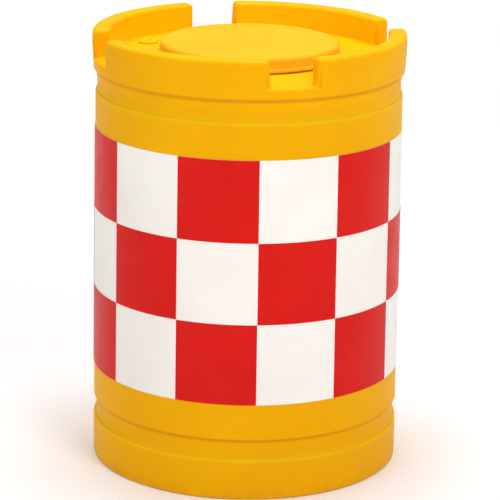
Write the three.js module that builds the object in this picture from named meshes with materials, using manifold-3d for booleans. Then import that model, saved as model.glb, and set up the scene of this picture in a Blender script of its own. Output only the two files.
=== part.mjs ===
// Cushion drum for road works: a hollow polyethylene drum with a castellated crown lid,
// a raised centre hatch, red and white checker sheeting and two water bags inside.
// Millimetres, +Z up, origin at the middle of the base; azimuth 0 is the front (-Y), turning towards +X.
import * as THREE from "three";
import { mergeVertices } from "three/addons/utils/BufferGeometryUtils.js";
import Module from "manifold-3d";

const wasm = await Module();
wasm.setup();

// ---- Driving dimensions -------------------------------------------------------------------
const TOTAL_HEIGHT = 840;
const BODY_TOP_RADIUS = 293; // the body widens evenly from here, under the upper groove,
const BODY_FOOT_RADIUS = 296.5; // to here, over the lower groove
const CROWN_RADIUS = 299;
const WALL = 4;
const SHEET_TOP = 656; // top edge of the checker sheeting
const PANEL_HEIGHT = 156;
const SHEET_COLUMNS = 12;
const SHEET_ROWS = 3;
const SHEET_PHASE = 4.2; // azimuth of one joint between two columns, degrees
const GAP = 0.3; // clearance kept between pieces that rest on each other

const NOTCH_COUNT = 4;
const NOTCH_PHASE = 16; // azimuth of the middle of the front notch
const NOTCH_WIDTH = 17; // degrees between a notch's two side walls
const NOTCH_DEPTH = 51;
const CROWN_THICKNESS = 34;
const SKIRT_DEPTH = 72; // from the crown's top to the skirt's lower edge

const HATCH_RADIUS = 171;
const HATCH_DROP = 21; // how far the hatch's top lies below the crown's top
const HATCH_FLANGE_RADIUS = 178;
const HATCH_HOLE_RADIUS = 164;

const SHEET_FILM = 0.4; // thickness of one layer of sheeting
const ROUND_SEGMENTS = 60; // a multiple of the sheeting's columns, so that panel joints fall on facet edges
const SMALL_SEGMENTS = 20;

// ---- Heights that follow from them --------------------------------------------------------
const DECK_TOP = TOTAL_HEIGHT - NOTCH_DEPTH;
const DECK_THICKNESS = 4.5;
const DECK_UNDERSIDE = DECK_TOP - DECK_THICKNESS;
const SKIRT_EDGE = TOTAL_HEIGHT - SKIRT_DEPTH;
const HATCH_TOP = TOTAL_HEIGHT - HATCH_DROP;
const SHEET_BOTTOM = SHEET_TOP - SHEET_ROWS * PANEL_HEIGHT;
const LOWER_GROOVE = { crease: 119, floorTop: 112, floorBottom: 87, shoulder: 76 };
const UPPER_GROOVE = { floorTop: 746, floorBottom: 733, shoulder: 722 };
const CROWN_INNER_RADIUS = CROWN_RADIUS - CROWN_THICKNESS;

const radians = THREE.MathUtils.degToRad;

// The body's outer radius at a height between its two grooves.
function bodyRadius(z) {
  const share = (z - LOWER_GROOVE.crease) / (UPPER_GROOVE.shoulder - LOWER_GROOVE.crease);
  return THREE.MathUtils.lerp(BODY_FOOT_RADIUS, BODY_TOP_RADIUS, share);
}

// ---- Materials ----------------------------------------------------------------------------
function plastic(colour, roughness) {
  return new THREE.MeshStandardMaterial({ color: colour, roughness, metalness: 0 });
}

const drumYellow = plastic(0xf2ab08, 0.45);
const hatchYellow = plastic(0xf5b822, 0.5);
const sheetWhite = plastic(0xf4eee4, 0.35);
const sheetRed = plastic(0xd8231c, 0.35);
const bagFilm = plastic(0xd9e6ea, 0.25);
const fittingWhite = plastic(0xe9e9e4, 0.4);
const capBlue = plastic(0x2c62a5, 0.4);
const lockYellow = plastic(0xf0a80a, 0.55);
const sealRubber = plastic(0x8a5a1e, 0.8);
const zincSteel = new THREE.MeshStandardMaterial({ color: 0xb4b7b9, roughness: 0.35, metalness: 1 });

const group = new THREE.Group();

function addMesh(name, geometry, material) {
  const mesh = new THREE.Mesh(geometry, material);
  mesh.name = name;
  group.add(mesh);
  return mesh;
}

// ---- Shape helpers ------------------------------------------------------------------------
// Points of a quarter-like arc around (centreR, centreZ), from one angle to another, in degrees.
function arc(centreR, centreZ, radius, fromAngle, toAngle, steps) {
  const points = [];
  for (let i = 0; i <= steps; i++) {
    const angle = radians(fromAngle + ((toAngle - fromAngle) * i) / steps);
    points.push([centreR + radius * Math.cos(angle), centreZ + radius * Math.sin(angle)]);
  }
  return points;
}

// A body turned about Z from [radius, height] points that run counter-clockwise, seen with +r to
// the right and +z up. A profile that doesn't start and end on the axis closes on itself.
function turned(profile, segments = ROUND_SEGMENTS, phase = SHEET_PHASE) {
  const points = profile.map(([r, z]) => new THREE.Vector2(r, z));
  const onAxis = profile[0][0] === 0 && profile[profile.length - 1][0] === 0;
  if (!onAxis) points.push(points[0].clone());
  const geometry = new THREE.LatheGeometry(points, segments, radians(phase));
  geometry.rotateX(Math.PI / 2);
  return geometry;
}

// A straight-sided plate: an outline in X and Y, raised from one height to another.
function raised(outline, fromZ, toZ) {
  const shape = new THREE.Shape(outline.map(([x, y]) => new THREE.Vector2(x, y)));
  const geometry = new THREE.ExtrudeGeometry(shape, { depth: toZ - fromZ, bevelEnabled: false });
  geometry.translate(0, 0, fromZ);
  return geometry;
}

function pointAt(azimuth, radius) {
  return [radius * Math.sin(radians(azimuth)), -radius * Math.cos(radians(azimuth))];
}

function cylinder(radius, fromZ, toZ, segments = SMALL_SEGMENTS) {
  return turned([[0, fromZ], [radius, fromZ], [radius, toZ], [0, toZ]], segments, 0);
}

// ---- Joining and cutting ------------------------------------------------------------------
const MERGE_TOLERANCE = 1e-3;

function toSolid(geometry) {
  const plain = geometry.clone();
  plain.deleteAttribute("normal");
  plain.deleteAttribute("uv");
  const merged = mergeVertices(plain, MERGE_TOLERANCE);
  return new wasm.Manifold(
    new wasm.Mesh({
      numProp: 3,
      vertProperties: merged.attributes.position.array,
      triVerts: new Uint32Array(merged.index.array),
    }),
  );
}

function toGeometry(solid) {
  const mesh = solid.getMesh();
  const geometry = new THREE.BufferGeometry();
  geometry.setAttribute("position", new THREE.BufferAttribute(new Float32Array(mesh.vertProperties), 3));
  geometry.setIndex(new THREE.BufferAttribute(new Uint32Array(mesh.triVerts), 1));
  geometry.computeVertexNormals();
  return geometry;
}

function joined(geometries) {
  return geometries.map(toSolid).reduce((all, next) => all.add(next));
}

function without(solid, cutters) {
  return cutters.reduce((left, cutter) => left.subtract(toSolid(cutter)), solid);
}

// ---- Drum body ----------------------------------------------------------------------------
const FOOT_RADIUS = 297;
const FOOT_INNER_RADIUS = 222;
const FOOT_ROUNDING = 5;
const FOOT_TAPER = 0.5; // the foot draws in by this much below FOOT_TAPER_TOP
const FOOT_TAPER_TOP = 34;
const BOTTOM_PANEL_RADIUS = 210;
const BOTTOM_PANEL_HEIGHT = 14; // the middle of the bottom stands clear of the ground
const BOTTOM_SLOPE_OFFSET = 2; // keeps the sloping bottom as thick as the rest of the wall
const LOWER_GROOVE_RADIUS = BODY_FOOT_RADIUS - 4;
const UPPER_GROOVE_RADIUS = BODY_TOP_RADIUS - 2.5;
const SHOULDER_SOFTENING = 1; // how far a shoulder's middle stands out from its straight slope
const NECK_RADIUS = 292;
const NECK_FLANGE_THICKNESS = 5;
const NECK_FLANGE_RADIUS = 256; // inner edge of the flange that the lid's deck rests on
const NECK_TOP = DECK_UNDERSIDE - GAP;
const DRAIN_HOLE_RADIUS = 6;
const DRAIN_HOLE_PITCH_RADIUS = 120;
const DRAIN_HOLE_COUNT = 4;
const DRAIN_HOLE_PHASE = 45;
const DRAIN_HOLE_SEGMENTS = 12;

// The middle point of the slope between a groove's floor and the wall below it.
function shoulderMiddle(grooveRadius, wallRadius, groove) {
  return [
    (grooveRadius + wallRadius) / 2 + SHOULDER_SOFTENING,
    (groove.floorBottom + groove.shoulder) / 2,
  ];
}

function drumBody() {
  const lower = LOWER_GROOVE;
  const upper = UPPER_GROOVE;
  const footCentre = FOOT_RADIUS - FOOT_TAPER - FOOT_ROUNDING;
  const outer = [
    [0, BOTTOM_PANEL_HEIGHT],
    [BOTTOM_PANEL_RADIUS, BOTTOM_PANEL_HEIGHT],
    [FOOT_INNER_RADIUS, 0],
    ...arc(footCentre, FOOT_ROUNDING, FOOT_ROUNDING, -90, 0, 3),
    [FOOT_RADIUS, FOOT_TAPER_TOP],
    [FOOT_RADIUS, lower.shoulder],
    shoulderMiddle(LOWER_GROOVE_RADIUS, FOOT_RADIUS, lower),
    [LOWER_GROOVE_RADIUS, lower.floorBottom],
    [LOWER_GROOVE_RADIUS, lower.floorTop],
    [BODY_FOOT_RADIUS, lower.crease],
    [BODY_TOP_RADIUS, upper.shoulder],
    shoulderMiddle(UPPER_GROOVE_RADIUS, BODY_TOP_RADIUS, upper),
    [UPPER_GROOVE_RADIUS, upper.floorBottom],
    [UPPER_GROOVE_RADIUS, upper.floorTop],
    [NECK_RADIUS, SKIRT_EDGE - GAP],
    [NECK_RADIUS, NECK_TOP],
    [NECK_FLANGE_RADIUS, NECK_TOP],
  ];
  const flangeUnderside = NECK_TOP - NECK_FLANGE_THICKNESS;
  const inner = [
    [NECK_FLANGE_RADIUS, flangeUnderside],
    [NECK_RADIUS - WALL, flangeUnderside],
    [NECK_RADIUS - WALL, SKIRT_EDGE],
    [UPPER_GROOVE_RADIUS - WALL, upper.floorTop],
    [UPPER_GROOVE_RADIUS - WALL, upper.floorBottom],
    [BODY_TOP_RADIUS - WALL, upper.shoulder - WALL],
    [BODY_FOOT_RADIUS - WALL, lower.crease + WALL],
    [LOWER_GROOVE_RADIUS - WALL, lower.floorTop + WALL],
    [LOWER_GROOVE_RADIUS - WALL, lower.floorBottom - WALL],
    [FOOT_RADIUS - WALL, lower.shoulder - WALL],
    [FOOT_RADIUS - WALL, FOOT_TAPER_TOP],
    ...arc(footCentre, FOOT_ROUNDING, FOOT_ROUNDING - WALL, 0, -90, 2),
    [FOOT_INNER_RADIUS + BOTTOM_SLOPE_OFFSET, WALL],
    [BOTTOM_PANEL_RADIUS + BOTTOM_SLOPE_OFFSET, BOTTOM_PANEL_HEIGHT + WALL],
    [0, BOTTOM_PANEL_HEIGHT + WALL],
  ];
  const drains = [];
  for (let i = 0; i < DRAIN_HOLE_COUNT; i++) {
    const [x, y] = pointAt(DRAIN_HOLE_PHASE + (360 * i) / DRAIN_HOLE_COUNT, DRAIN_HOLE_PITCH_RADIUS);
    const drill = cylinder(DRAIN_HOLE_RADIUS, 0, 2 * (BOTTOM_PANEL_HEIGHT + WALL), DRAIN_HOLE_SEGMENTS);
    drains.push(drill.translate(x, y, 0));
  }
  return toGeometry(without(toSolid(turned([...outer, ...inner])), drains));
}

// ---- Crown lid ----------------------------------------------------------------------------
const SKIRT_RADIUS = 296.3; // at the skirt's lower edge; the crown widens upwards
const DECK_CORNER_RADIUS = 297.3; // where the skirt turns into the deck, in the notches
const SKIRT_INNER_RADIUS = NECK_RADIUS + 2 * GAP;
const WELD = 1; // how far shapes that are joined reach into each other
const DECK_EDGE_ROUNDING = 11;
const CROWN_OUTER_ROUNDING = 10;
const CROWN_INNER_ROUNDING = 8;
const COLLAR_DEPTH = 16; // the collar round the hatch's hole hangs this far below the deck's top
const LOCK_COUNT = 4;
const LOCK_PHASE = NOTCH_PHASE + 45;
const LOCK_PITCH_RADIUS = 226;
const LOCK_SHAFT_RADIUS = 8;
const LOCK_HOLE_RADIUS = 9;

// A wedge that stands over one notch, from the middle of the drum to past the crown.
function notchWedge(azimuth, width, fromZ) {
  const reach = CROWN_RADIUS * 1.2;
  const outline = [
    pointAt(azimuth - width / 2, CROWN_INNER_RADIUS / 2),
    pointAt(azimuth - width / 2, reach),
    pointAt(azimuth + width / 2, reach),
    pointAt(azimuth + width / 2, CROWN_INNER_RADIUS / 2),
  ];
  return raised(outline, fromZ, TOTAL_HEIGHT + WALL);
}

function notchWedges(width, fromZ) {
  const wedges = [];
  for (let i = 0; i < NOTCH_COUNT; i++) {
    wedges.push(notchWedge(NOTCH_PHASE + (360 * i) / NOTCH_COUNT, width, fromZ));
  }
  return wedges;
}

function crownLid() {
  const deck = turned([
    [HATCH_HOLE_RADIUS, DECK_TOP - COLLAR_DEPTH],
    [HATCH_HOLE_RADIUS + WALL, DECK_TOP - COLLAR_DEPTH],
    [HATCH_HOLE_RADIUS + WALL, DECK_UNDERSIDE],
    [SKIRT_INNER_RADIUS, DECK_UNDERSIDE],
    [SKIRT_INNER_RADIUS, SKIRT_EDGE],
    [SKIRT_RADIUS, SKIRT_EDGE],
    ...arc(DECK_CORNER_RADIUS - DECK_EDGE_ROUNDING, DECK_TOP - DECK_EDGE_ROUNDING, DECK_EDGE_ROUNDING, 0, 90, 3),
    [HATCH_HOLE_RADIUS, DECK_TOP],
  ]);
  const outerCentre = CROWN_RADIUS - CROWN_OUTER_ROUNDING;
  const innerCentre = CROWN_INNER_RADIUS + CROWN_INNER_ROUNDING;
  const crownFoot = DECK_TOP - DECK_EDGE_ROUNDING;
  const crown = turned([
    [CROWN_INNER_RADIUS, DECK_UNDERSIDE + WELD],
    [SKIRT_INNER_RADIUS + WELD, DECK_UNDERSIDE + WELD],
    [SKIRT_INNER_RADIUS + WELD, crownFoot],
    [DECK_CORNER_RADIUS, crownFoot],
    ...arc(outerCentre, TOTAL_HEIGHT - CROWN_OUTER_ROUNDING, CROWN_OUTER_ROUNDING, 0, 90, 3),
    ...arc(innerCentre, TOTAL_HEIGHT - CROWN_INNER_ROUNDING, CROWN_INNER_ROUNDING, 90, 180, 3),
  ]);
  const hollowTop = TOTAL_HEIGHT - WALL;
  const hollow = turned([
    [CROWN_INNER_RADIUS + WALL, DECK_UNDERSIDE - WELD],
    [SKIRT_INNER_RADIUS, DECK_UNDERSIDE - WELD],
    [CROWN_RADIUS - WALL - WELD, DECK_TOP + WALL],
    [CROWN_RADIUS - WALL, hollowTop - CROWN_OUTER_ROUNDING],
    [outerCentre, hollowTop],
    [innerCentre, hollowTop],
    [CROWN_INNER_RADIUS + WALL, hollowTop - CROWN_INNER_ROUNDING],
  ]);
  const endWall = (2 * WALL * 180) / (Math.PI * CROWN_RADIUS);
  const segments = without(toSolid(crown), notchWedges(NOTCH_WIDTH, crownFoot - WALL));
  const cavities = without(toSolid(hollow), notchWedges(NOTCH_WIDTH + endWall, SKIRT_EDGE));
  const lockHoles = [];
  for (let i = 0; i < LOCK_COUNT; i++) {
    const [x, y] = pointAt(LOCK_PHASE + (360 * i) / LOCK_COUNT, LOCK_PITCH_RADIUS);
    lockHoles.push(cylinder(LOCK_HOLE_RADIUS, DECK_UNDERSIDE - WALL, DECK_TOP + WALL).translate(x, y, 0));
  }
  const shell = toSolid(deck).add(segments).subtract(cavities);
  return toGeometry(without(shell, lockHoles));
}

// ---- Centre hatch -------------------------------------------------------------------------
const SEAL_THICKNESS = 2;
const SEAL_INNER_RADIUS = HATCH_HOLE_RADIUS + 1.5;
const SEAL_OUTER_RADIUS = HATCH_FLANGE_RADIUS - 5;
const HATCH_FLANGE_THICKNESS = 6;
const HATCH_FLANGE_CHAMFER = 1.5;
const HATCH_EDGE_ROUNDING = 9;
const HATCH_DRAFT = 1; // the hatch's side leans in by this much towards its top
const HATCH_PLUG_RADIUS = HATCH_HOLE_RADIUS - 4 * GAP;
const HATCH_PLUG_DEPTH = 21; // below the deck's top
const HATCH_RIB_COUNT = 6;
const HATCH_RIB_DEPTH = 8;
const HATCH_RIB_THICKNESS = 3;
const HATCH_RIB_START = 22; // from the hatch's middle
const HATCH_RIB_LENGTH = HATCH_RADIUS - 40;
const FLANGE_UNDERSIDE = DECK_TOP + GAP + SEAL_THICKNESS + GAP;

function hatchLid() {
  const flangeTop = FLANGE_UNDERSIDE + HATCH_FLANGE_THICKNESS;
  const plateUnderside = HATCH_TOP - WALL;
  const inside = HATCH_RADIUS - WALL - 2 * HATCH_DRAFT;
  const shell = turned([
    [0, plateUnderside],
    [inside + HATCH_DRAFT - HATCH_EDGE_ROUNDING, plateUnderside],
    [inside, plateUnderside - HATCH_EDGE_ROUNDING],
    [inside, flangeTop],
    [HATCH_PLUG_RADIUS - WALL, FLANGE_UNDERSIDE + WALL],
    [HATCH_PLUG_RADIUS - WALL, DECK_TOP - HATCH_PLUG_DEPTH],
    [HATCH_PLUG_RADIUS, DECK_TOP - HATCH_PLUG_DEPTH],
    [HATCH_PLUG_RADIUS, FLANGE_UNDERSIDE],
    [HATCH_FLANGE_RADIUS, FLANGE_UNDERSIDE],
    [HATCH_FLANGE_RADIUS, flangeTop - HATCH_FLANGE_CHAMFER],
    [HATCH_FLANGE_RADIUS - HATCH_FLANGE_CHAMFER, flangeTop],
    [HATCH_RADIUS + HATCH_DRAFT, flangeTop],
    ...arc(HATCH_RADIUS - HATCH_EDGE_ROUNDING, HATCH_TOP - HATCH_EDGE_ROUNDING, HATCH_EDGE_ROUNDING, 0, 90, 3),
    [0, HATCH_TOP],
  ]);
  const ribs = [];
  for (let i = 0; i < HATCH_RIB_COUNT; i++) {
    const rib = new THREE.BoxGeometry(HATCH_RIB_LENGTH, HATCH_RIB_THICKNESS, HATCH_RIB_DEPTH);
    rib.translate(HATCH_RIB_LENGTH / 2 + HATCH_RIB_START, 0, plateUnderside - HATCH_RIB_DEPTH / 2 + WELD);
    ribs.push(rib.rotateZ((2 * Math.PI * i) / HATCH_RIB_COUNT));
  }
  return toGeometry(joined([shell, ...ribs]));
}

function hatchSeal() {
  const bottom = DECK_TOP + GAP;
  return turned([
    [SEAL_INNER_RADIUS, bottom],
    [SEAL_OUTER_RADIUS, bottom],
    [SEAL_OUTER_RADIUS, bottom + SEAL_THICKNESS],
    [SEAL_INNER_RADIUS, bottom + SEAL_THICKNESS],
  ]);
}

// ---- Lid locks ----------------------------------------------------------------------------
// Each lock has a low round head on the deck, with a slot for a coin. Its shaft carries a cam under
// the deck; turned outwards, the cam reaches under the neck's flange. The locks are drawn open,
// with the cam along the rim.
const HEAD_RADIUS = 19;
const HEAD_HEIGHT = 4;
const HEAD_CHAMFER = 1.5;
const HEAD_SLOT_WIDTH = 4;
const HEAD_SLOT_DEPTH = 2.5;
const HEAD_SLOT_LENGTH = 28;
const CAM_LENGTH = 44;
const CAM_WIDTH = 24;
const CAM_THICKNESS = 5;
const CAM_TOP = NECK_TOP - NECK_FLANGE_THICKNESS - 2 * GAP;
const NUT_HEIGHT = 7;
const NUT_RADIUS = 13;
const SHAFT_PROUD = 4; // how far the shaft's end shows below its nut
const SHAFT_END = CAM_TOP - CAM_THICKNESS - NUT_HEIGHT - SHAFT_PROUD;

function lockHead() {
  const bottom = DECK_TOP + GAP;
  const top = bottom + HEAD_HEIGHT;
  const blank = turned(
    [
      [0, SHAFT_END],
      [LOCK_SHAFT_RADIUS, SHAFT_END],
      [LOCK_SHAFT_RADIUS, bottom],
      [HEAD_RADIUS, bottom],
      [HEAD_RADIUS, top - HEAD_CHAMFER],
      [HEAD_RADIUS - HEAD_CHAMFER, top],
      [0, top],
    ],
    SMALL_SEGMENTS,
    0,
  );
  const slot = new THREE.BoxGeometry(HEAD_SLOT_LENGTH, HEAD_SLOT_WIDTH, 2 * HEAD_SLOT_DEPTH);
  slot.translate(0, 0, top);
  return toGeometry(without(toSolid(blank), [slot]));
}

function lockCam() {
  const half = CAM_WIDTH / 2;
  const outline = [...arc(0, 0, half, 90, 270, 6), ...arc(CAM_LENGTH - half, 0, half, -90, 90, 6)];
  const plate = raised(outline, CAM_TOP - CAM_THICKNESS, CAM_TOP);
  const hole = cylinder(LOCK_SHAFT_RADIUS + GAP, CAM_TOP - 2 * CAM_THICKNESS, CAM_TOP + CAM_THICKNESS);
  return toGeometry(without(toSolid(plate), [hole]));
}

function lockNut() {
  const top = CAM_TOP - CAM_THICKNESS - GAP;
  const blank = cylinder(NUT_RADIUS, top - NUT_HEIGHT, top, 6);
  const hole = cylinder(LOCK_SHAFT_RADIUS + GAP, top - 2 * NUT_HEIGHT, top + NUT_HEIGHT);
  return toGeometry(without(toSolid(blank), [hole]));
}

function addLidLocks() {
  for (let i = 0; i < LOCK_COUNT; i++) {
    const azimuth = LOCK_PHASE + (360 * i) / LOCK_COUNT;
    const [x, y] = pointAt(azimuth, LOCK_PITCH_RADIUS);
    const lock = new THREE.Group();
    lock.position.set(x, y, 0);
    lock.rotation.z = radians(azimuth); // the lock's +X runs along the rim
    const pieces = [
      ["lid_lock_head_", lockHead(), lockYellow],
      ["lid_lock_cam_", lockCam(), zincSteel],
      ["lid_lock_nut_", lockNut(), zincSteel],
    ];
    for (const [name, geometry, material] of pieces) {
      const mesh = new THREE.Mesh(geometry, material);
      mesh.name = name + (i + 1);
      lock.add(mesh);
    }
    group.add(lock);
  }
}

// ---- Water bags ---------------------------------------------------------------------------
const BAG_RADIUS = 282;
const BAG_SEGMENTS = 36;
const BAG_EDGE = 26;
const BAG_SAG = 6; // how far a full bag's rim lies below the middle of its top
const BAG_FOOT_RISE = 16;
const BAG_FOOT_INSET = 8;
const BAG_FLAT_RADIUS = 170;
const POCKET_RADIUS = 62; // the hollow in a bag's top that its spout stands in
const POCKET_DEPTH = 46;
const POCKET_SLOPE = 18;
const BAG_FLOOR = BOTTOM_PANEL_HEIGHT + WALL + GAP;
const LOWER_BAG_TOP = 384;
const UPPER_BAG_BOTTOM = LOWER_BAG_TOP + 3; // the upper bag stands on the lower one
const UPPER_BAG_TOP = 743;
const UPPER_POCKET_DEPTH = 8;

function bagTop(top, pocketDepth) {
  return [
    ...arc(BAG_RADIUS - BAG_EDGE, top - BAG_EDGE - BAG_SAG, BAG_EDGE, 0, 75, 3),
    [BAG_FLAT_RADIUS, top],
    [POCKET_RADIUS + POCKET_SLOPE, top],
    [POCKET_RADIUS, top - pocketDepth],
    [0, top - pocketDepth],
  ];
}

function lowerWaterBag() {
  return turned(
    [
      [0, BAG_FLOOR],
      [BOTTOM_PANEL_RADIUS + BAG_SAG, BAG_FLOOR],
      [FOOT_INNER_RADIUS + 2 * BAG_SAG, 2 * WALL],
      [BAG_RADIUS - BAG_EDGE, 2 * WALL],
      [BAG_RADIUS - BAG_FOOT_INSET, BAG_FOOT_RISE],
      [BAG_RADIUS, 2 * BAG_EDGE],
      ...bagTop(LOWER_BAG_TOP, POCKET_DEPTH),
    ],
    BAG_SEGMENTS,
  );
}

function upperWaterBag() {
  return turned(
    [
      [0, UPPER_BAG_BOTTOM],
      [BAG_RADIUS - 2 * BAG_EDGE, UPPER_BAG_BOTTOM],
      ...arc(BAG_RADIUS - BAG_EDGE, UPPER_BAG_BOTTOM + BAG_EDGE + BAG_SAG, BAG_EDGE, -75, 0, 3),
      ...bagTop(UPPER_BAG_TOP, UPPER_POCKET_DEPTH),
    ],
    BAG_SEGMENTS,
  );
}

// ---- Bag spouts and screw caps ------------------------------------------------------------
const SPOUT_FLANGE_RADIUS = 36;
const SPOUT_FLANGE_THICKNESS = 3;
const SPOUT_RADIUS = 21;
const SPOUT_BORE_RADIUS = 17;
const SPOUT_HEIGHT = 24;
const CAP_RADIUS = 27;
const CAP_INNER_RADIUS = 23;
const CAP_TOP_THICKNESS = 3;
const CAP_CHAMFER = 1;
const CAP_SEAL_THICKNESS = 2;
const CAP_SEAL_RADIUS = 22;
const CAP_SKIRT = 16;

// The spout stands on the floor of its bag's pocket.
function spout(floorZ) {
  const bottom = floorZ + GAP;
  const flangeTop = bottom + SPOUT_FLANGE_THICKNESS;
  return turned(
    [
      [SPOUT_BORE_RADIUS, bottom],
      [SPOUT_FLANGE_RADIUS, bottom],
      [SPOUT_FLANGE_RADIUS, flangeTop],
      [SPOUT_RADIUS, flangeTop],
      [SPOUT_RADIUS, bottom + SPOUT_HEIGHT],
      [SPOUT_BORE_RADIUS, bottom + SPOUT_HEIGHT],
    ],
    SMALL_SEGMENTS,
    0,
  );
}

function capSeal(floorZ) {
  const bottom = floorZ + GAP + SPOUT_HEIGHT + GAP;
  return cylinder(CAP_SEAL_RADIUS, bottom, bottom + CAP_SEAL_THICKNESS);
}

function screwCap(floorZ) {
  const underside = floorZ + GAP + SPOUT_HEIGHT + GAP + CAP_SEAL_THICKNESS + GAP;
  return turned(
    [
      [0, underside],
      [CAP_INNER_RADIUS, underside],
      [CAP_INNER_RADIUS, underside - CAP_SKIRT],
      [CAP_RADIUS, underside - CAP_SKIRT],
      [CAP_RADIUS, underside + CAP_TOP_THICKNESS - CAP_CHAMFER],
      [CAP_RADIUS - CAP_CHAMFER, underside + CAP_TOP_THICKNESS],
      [0, underside + CAP_TOP_THICKNESS],
    ],
    SMALL_SEGMENTS,
    0,
  );
}

function addBagFittings(prefix, floorZ) {
  addMesh(prefix + "_bag_spout", spout(floorZ), fittingWhite);
  addMesh(prefix + "_bag_cap_seal", capSeal(floorZ), sealRubber);
  addMesh(prefix + "_bag_cap", screwCap(floorZ), capBlue);
}

// ---- Checker sheeting ---------------------------------------------------------------------
const WRAP_OFFSET = GAP; // from the body's wall to the inner face of the white wrap
const RED_OFFSET = WRAP_OFFSET + SHEET_FILM + GAP;
const PANEL_CLEARANCE = 0.15;

// A band of film round the body, between two heights, lying this far off the wall.
function filmBand(offset, bottom, top) {
  return turned([
    [bodyRadius(bottom) + offset, bottom],
    [bodyRadius(bottom) + offset + SHEET_FILM, bottom],
    [bodyRadius(top) + offset + SHEET_FILM, top],
    [bodyRadius(top) + offset, top],
  ]);
}

// A wedge between two azimuths, less than a half turn apart, that reaches past the body.
function columnWedge(fromAzimuth, toAzimuth) {
  const reach = CROWN_RADIUS * 1.2;
  const outline = [[0, 0], pointAt(fromAzimuth, reach), pointAt(toAzimuth, reach)];
  return raised(outline, 0, TOTAL_HEIGHT);
}

// Rows are counted from the top. Column 0 is the one to the right of the joint at SHEET_PHASE;
// its top panel is white, so red panels are those with an odd sum of row and column.
function addRedPanels() {
  const columnAngle = 360 / SHEET_COLUMNS;
  const clearanceAngle = (PANEL_CLEARANCE * 180) / (Math.PI * BODY_TOP_RADIUS);
  for (let row = 0; row < SHEET_ROWS; row++) {
    const top = SHEET_TOP - row * PANEL_HEIGHT - PANEL_CLEARANCE;
    const band = toSolid(filmBand(RED_OFFSET, top - PANEL_HEIGHT + 2 * PANEL_CLEARANCE, top));
    for (let column = 0; column < SHEET_COLUMNS; column++) {
      if ((row + column) % 2 === 0) continue;
      const start = SHEET_PHASE + column * columnAngle;
      const wedge = columnWedge(start + clearanceAngle, start + columnAngle - clearanceAngle);
      const panel = toGeometry(band.intersect(toSolid(wedge)));
      addMesh("red_panel_" + (row + 1) + "_" + (column + 1), panel, sheetRed);
    }
  }
}

// ---- Assembly -----------------------------------------------------------------------------
addMesh("drum_body", drumBody(), drumYellow);
addMesh("crown_lid", crownLid(), drumYellow);
addMesh("hatch_lid", hatchLid(), hatchYellow);
addMesh("hatch_seal", hatchSeal(), sealRubber);
addLidLocks();
addMesh("lower_water_bag", lowerWaterBag(), bagFilm);
addMesh("upper_water_bag", upperWaterBag(), bagFilm);
addBagFittings("lower", LOWER_BAG_TOP - POCKET_DEPTH);
addBagFittings("upper", UPPER_BAG_TOP - UPPER_POCKET_DEPTH);
addMesh("white_sheeting", filmBand(WRAP_OFFSET, SHEET_BOTTOM, SHEET_TOP), sheetWhite);
addRedPanels();

export default group;
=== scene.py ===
# Looks for the cushion drum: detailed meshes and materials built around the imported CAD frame.
# Metres, +Z up; azimuth 0 is the front (-Y) and turns towards +X, as in the CAD model.
import math

import bmesh
import bpy
from mathutils import Matrix, Vector, noise


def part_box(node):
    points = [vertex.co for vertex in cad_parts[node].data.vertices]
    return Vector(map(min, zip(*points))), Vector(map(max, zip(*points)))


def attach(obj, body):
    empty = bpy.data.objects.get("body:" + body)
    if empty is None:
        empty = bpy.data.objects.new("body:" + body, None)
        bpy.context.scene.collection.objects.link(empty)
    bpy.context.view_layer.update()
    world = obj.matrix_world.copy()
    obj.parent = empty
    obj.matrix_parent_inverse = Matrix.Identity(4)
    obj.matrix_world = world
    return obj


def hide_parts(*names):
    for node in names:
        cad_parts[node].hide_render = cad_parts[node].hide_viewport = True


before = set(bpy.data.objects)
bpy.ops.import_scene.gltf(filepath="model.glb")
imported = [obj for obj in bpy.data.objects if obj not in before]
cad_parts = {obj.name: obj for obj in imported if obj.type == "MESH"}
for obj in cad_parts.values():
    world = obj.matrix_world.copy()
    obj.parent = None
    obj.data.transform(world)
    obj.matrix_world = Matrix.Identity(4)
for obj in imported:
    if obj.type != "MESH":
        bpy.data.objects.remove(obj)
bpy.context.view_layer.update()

MM = 0.001


# ---- Sizes read from the frame ----
def radius_of(node):
    """The largest distance of a CAD node's corners from the drum's axis."""
    return max(math.hypot(v.co.x, v.co.y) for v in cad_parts[node].data.vertices)


def levels(node):
    """The heights of a CAD node's lowest and highest points."""
    low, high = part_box(node)
    return low.z, high.z


FOOT_RADIUS = radius_of("drum_body")
NECK_TOP = levels("drum_body")[1]
CROWN_RADIUS = radius_of("crown_lid")
SKIRT_EDGE, TOTAL_HEIGHT = levels("crown_lid")
HATCH_FLANGE_RADIUS = radius_of("hatch_lid")
HATCH_BOTTOM, HATCH_TOP = levels("hatch_lid")
SHEET_BOTTOM, SHEET_TOP = levels("white_sheeting")

# ---- Sizes the frame doesn't hold, as in the CAD source ----
WALL = 4 * MM
GAP = 0.3 * MM
BODY_TOP_RADIUS = 293 * MM  # under the upper groove; the body widens evenly from there down
BODY_FOOT_RADIUS = 296.5 * MM  # over the lower groove
LOWER_GROOVE = {
    "crease": 119 * MM,
    "floor_top": 112 * MM,
    "floor_bottom": 87 * MM,
    "shoulder": 76 * MM,
}
UPPER_GROOVE = {
    "crease": SKIRT_EDGE,
    "floor_top": 746 * MM,
    "floor_bottom": 733 * MM,
    "shoulder": 722 * MM,
}
DECK_TOP = TOTAL_HEIGHT - 51 * MM
DECK_UNDERSIDE = DECK_TOP - 4.5 * MM
CROWN_THICKNESS = 34 * MM
CROWN_INNER_RADIUS = CROWN_RADIUS - CROWN_THICKNESS
CROWN_MIDDLE_RADIUS = (CROWN_RADIUS + CROWN_INNER_RADIUS) / 2
SKIRT_RADIUS = 296.3 * MM
NECK_RADIUS = 292 * MM
NOTCH_COUNT = 4
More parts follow.
